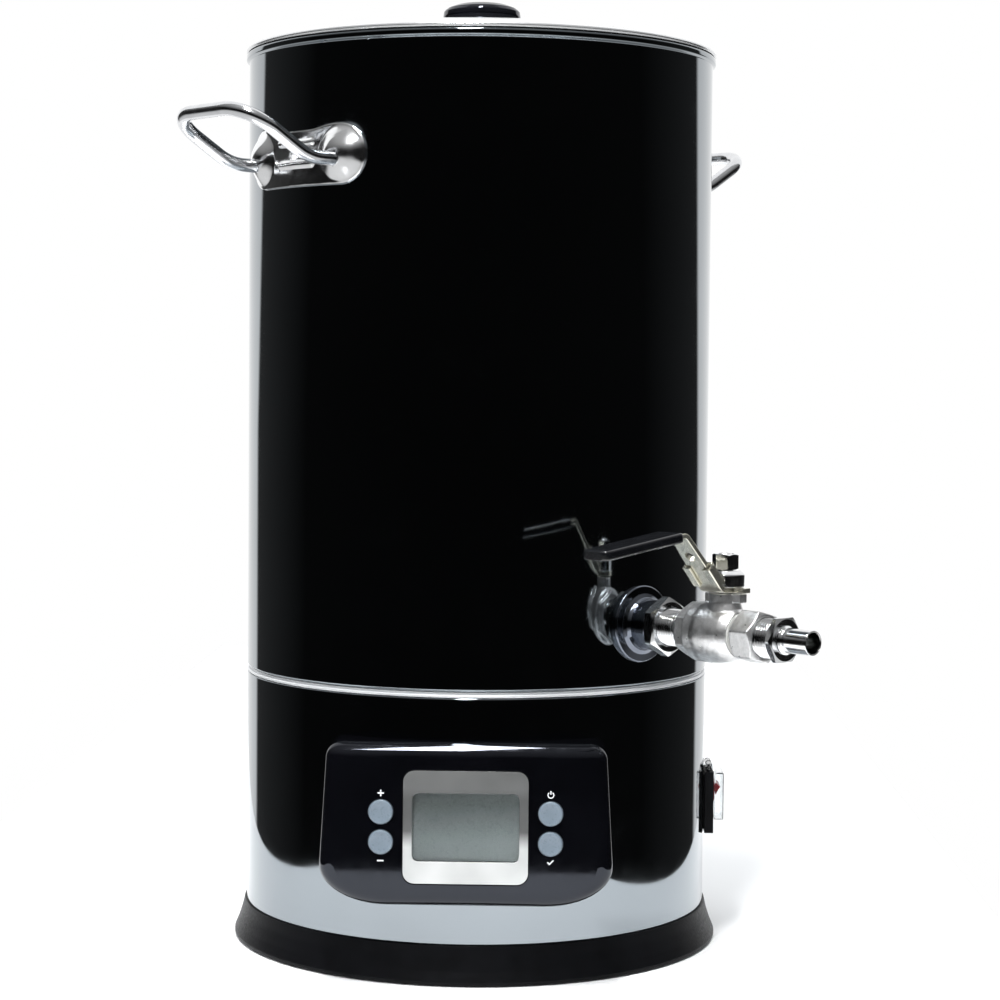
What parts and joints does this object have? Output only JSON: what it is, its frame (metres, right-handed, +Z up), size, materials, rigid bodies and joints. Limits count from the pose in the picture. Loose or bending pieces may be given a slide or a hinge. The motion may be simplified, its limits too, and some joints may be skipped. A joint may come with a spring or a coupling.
{
  "type": "electric all in one brewer",
  "caption": "Tall round black electric brewing kettle with domed lid, side handles, lever ball valve with spout, and a base holding heater, display panel, buttons and a covered rocker switch.",
  "frame": {"origin": "middle of the bottom cover's flat underside, on the kettle's axis; the rubber feet reach 3 mm below it", "axes": "+Z up along the kettle's axis, -Y towards the control panel, +X towards the mains switch"},
  "size_m": [0.3589, 0.3892, 0.5654],
  "materials": {
    "black_coat": "high gloss black coating on sheet steel",
    "polished_steel": "polished stainless steel",
    "rod_steel": "bright drawn stainless rod",
    "cast_steel": "bead blasted cast stainless steel",
    "zinc_steel": "zinc plated pressed steel",
    "aluminium": "plain mill finish",
    "black_plastic": "gloss moulded black plastic",
    "satin_plastic": "satin moulded black plastic",
    "silver_plastic": "silver lacquered plastic",
    "button_plastic": "satin pale blue grey plastic",
    "red_plastic": "gloss red plastic",
    "clear_plastic": "clear moulded plastic",
    "display_glass": "grey green unlit display",
    "circuit_board": "green solder mask",
    "rubber": "matte black rubber",
    "vinyl": "dipped black vinyl",
    "silicone": "red silicone rubber",
    "teflon": "white sealing plastic"
  },
  "bodies": {
    "brewer": {"kettle_shell": "black_coat", "joint_ring": "polished_steel", "handle_bracket_left": "polished_steel", "handle_rod_left": "rod_steel", "handle_bracket_right": "polished_steel", "handle_rod_right": "rod_steel", "base_skirt": "black_coat", "foot_ring": "satin_plastic", "bottom_cover": "satin_plastic", "rubber_foot_1": "rubber", "rubber_foot_2": "rubber", "rubber_foot_3": "rubber", "rubber_foot_4": "rubber", "heater_disc": "aluminium", "heating_element": "rod_steel", "temperature_probe": "polished_steel", "heat_shield": "aluminium", "control_board": "circuit_board", "heat_sink": "aluminium", "heater_lead_a": "silicone", "heater_lead_b": "silicone", "mains_lead": "rubber", "panel_housing": "black_plastic", "panel_gasket": "rubber", "lcd_bezel": "silver_plastic", "lcd_window": "clear_plastic", "lcd_module": "display_glass", "keypad_board": "circuit_board", "switch_frame": "satin_plastic", "cover_pin": "polished_steel", "power_inlet": "satin_plastic", "bulkhead_flange": "polished_steel", "bulkhead_gasket": "silicone", "bulkhead_nipple": "cast_steel", "outer_nut": "polished_steel", "inner_nut": "polished_steel", "valve_end_cap": "cast_steel", "valve_body": "cast_steel", "ball_seat_inner": "teflon", "ball_seat_outer": "teflon", "outlet_nipple": "polished_steel", "outlet_nut": "polished_steel", "spout": "polished_steel"},
    "lid_body": {"lid": "polished_steel", "knob_collar": "polished_steel", "lid_knob": "black_plastic", "knob_screw": "polished_steel"},
    "lever_body": {"lever": "zinc_steel", "lever_grip": "vinyl", "stem_collar": "cast_steel", "stem_nut": "polished_steel", "valve_stem": "cast_steel", "valve_ball": "polished_steel"},
    "lock_body": {"lock_slide": "zinc_steel"},
    "plus_body": {"button_plus": "button_plastic"},
    "minus_body": {"button_minus": "button_plastic"},
    "on_off_body": {"button_on_off": "button_plastic"},
    "set_body": {"button_set": "button_plastic"},
    "rocker_body": {"switch_rocker": "red_plastic"},
    "cover_body": {"switch_cover": "clear_plastic"}
  },
  "joints": [
    {"name": "lid_lift", "type": "slide", "parent": "brewer", "child": "lid_body", "axis": [0, 0, 1], "range_m": [0, 0.15]},
    {"name": "valve_turn", "type": "hinge", "parent": "brewer", "child": "lever_body", "pos_m": [0.14171, -0.14674, 0.2217], "axis": [0, 0, 1], "range_deg": [0, 90]},
    {"name": "lock_travel", "type": "slide", "parent": "lever_body", "child": "lock_body", "axis": [-0.4805, -0.464, 0.7442], "range_m": [0, 0.007]},
    {"name": "plus_press", "type": "slide", "parent": "brewer", "child": "plus_body", "axis": [0, 1, 0], "range_m": [0, 0.0012], "stiffness_N_per_m": 400},
    {"name": "minus_press", "type": "slide", "parent": "brewer", "child": "minus_body", "axis": [0, 1, 0], "range_m": [0, 0.0012], "stiffness_N_per_m": 400},
    {"name": "on_off_press", "type": "slide", "parent": "brewer", "child": "on_off_body", "axis": [0, 1, 0], "range_m": [0, 0.0012], "stiffness_N_per_m": 400},
    {"name": "set_press", "type": "slide", "parent": "brewer", "child": "set_body", "axis": [0, 1, 0], "range_m": [0, 0.0012], "stiffness_N_per_m": 400},
    {"name": "rocker_tip", "type": "hinge", "parent": "brewer", "child": "rocker_body", "pos_m": [0.1405, 0, 0.0802], "axis": [0, -1, 0], "range_deg": [0, 24]},
    {"name": "cover_flip", "type": "hinge", "parent": "brewer", "child": "cover_body", "pos_m": [0.1431, 0, 0.1006], "axis": [0, -1, 0], "range_deg": [0, 100]}
  ]
}
